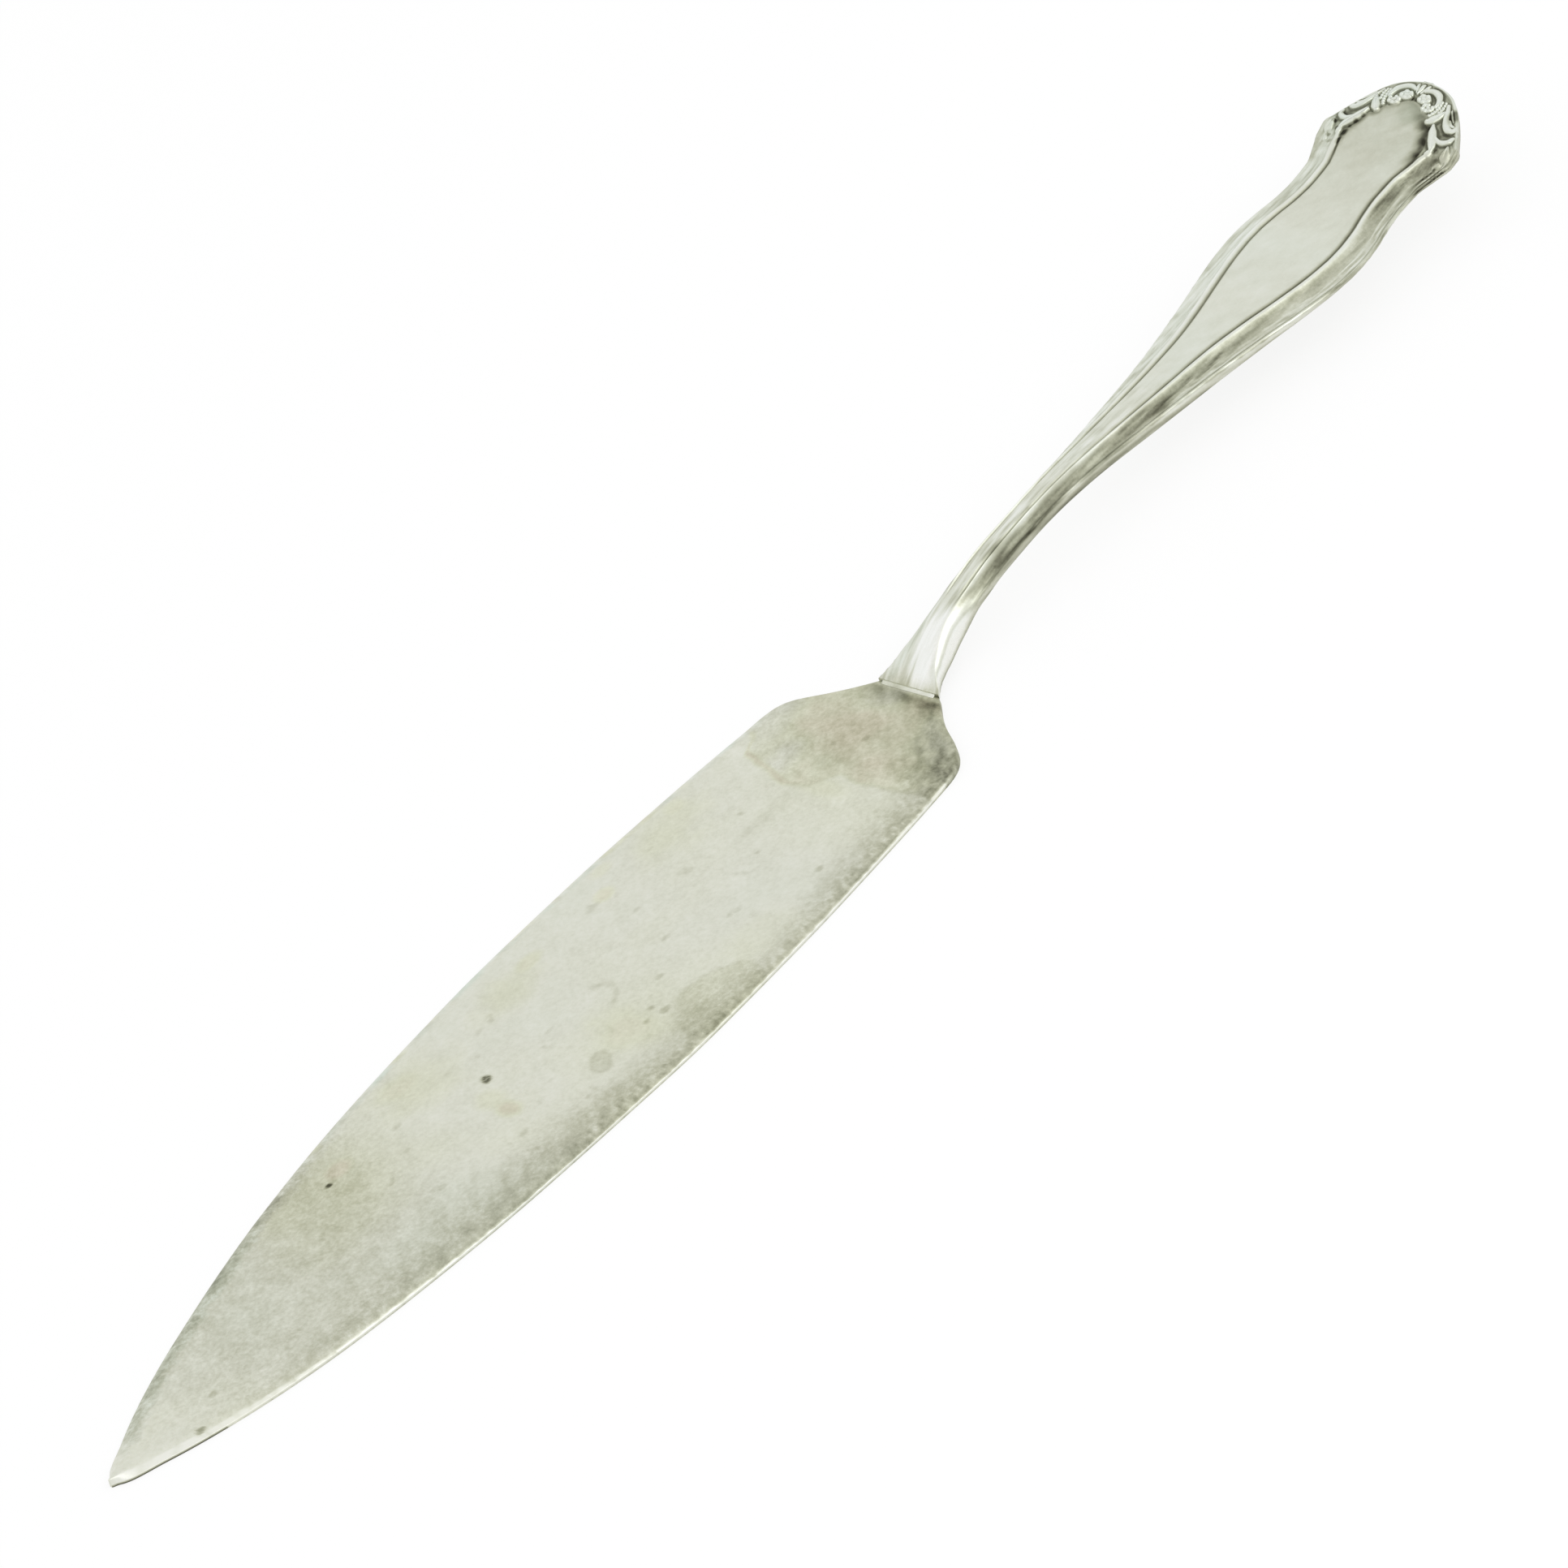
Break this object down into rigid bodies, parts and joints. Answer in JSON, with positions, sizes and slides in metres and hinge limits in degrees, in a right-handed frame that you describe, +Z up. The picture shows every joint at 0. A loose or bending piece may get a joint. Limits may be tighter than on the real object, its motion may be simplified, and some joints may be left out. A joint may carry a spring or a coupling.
{
  "type": "fish serving knife",
  "caption": "Fish serving knife: a flat pointed lancet blade hard-soldered under the flared foot of a raised, solid threaded handle with a scroll-worked end, for portioning and lifting fish.",
  "frame": {"origin": "under the middle of the knife's length, on the plane that the blade's flat underside rests on", "axes": "+X from the blade's tip to the end of the handle, +Y across the blade, +Z up, square to the blade's flat face"},
  "size_m": [0.2904, 0.0424, 0.0142],
  "materials": {
    "blade_silver": "satin worn silver, cloudy tarnish",
    "handle_silver": "worn polished silver, dark tarnish in the recesses",
    "hard_solder": "dull grey-brown tarnished hard solder"
  },
  "bodies": {
    "root": {"blade": "blade_silver", "handle": "handle_silver", "solder_joint": "hard_solder"}
  },
  "joints": []
}
